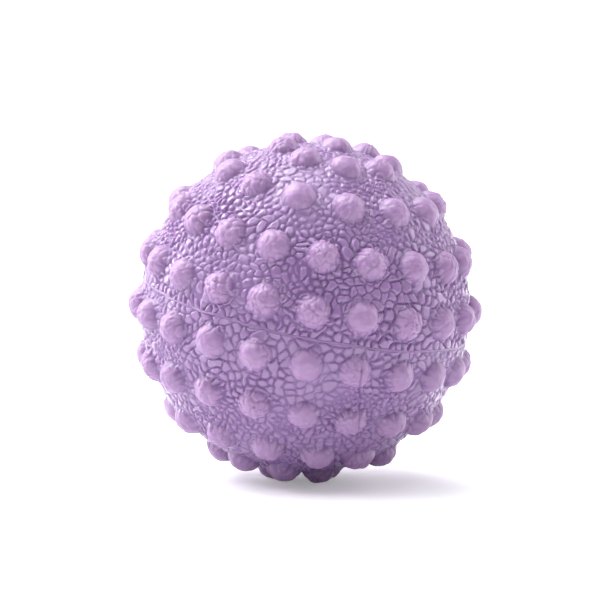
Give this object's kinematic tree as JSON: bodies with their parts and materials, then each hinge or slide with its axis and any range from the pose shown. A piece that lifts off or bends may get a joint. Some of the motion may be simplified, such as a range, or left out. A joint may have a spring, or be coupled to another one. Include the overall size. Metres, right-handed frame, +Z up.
{
  "type": "massage ball",
  "caption": "Palm-sized hollow ball for hand and foot massage, with rounded nubs in rings and a pebbled skin, moulded as two half shells cemented at a raised seam.",
  "frame": {"origin": "centre of the ball", "axes": "+Z up, with the ball lying at rest on its bottom nub and two nubs of the ring round that one. The mould axis, square to the seam, leans 10.5 degrees from +Z, towards an azimuth of -12.5 degrees, so for a viewer who looks along +Y the seam is lower at the right than at the left."},
  "size_m": [0.045, 0.0446, 0.0444],
  "materials": {
    "shell": "soft satin purple, moulded with a pebble grain",
    "cement": "satin purple, the same colour as the shells"
  },
  "bodies": {
    "root": {"upper_half_shell": "shell", "lower_half_shell": "shell", "seam_bond": "cement"}
  },
  "joints": []
}
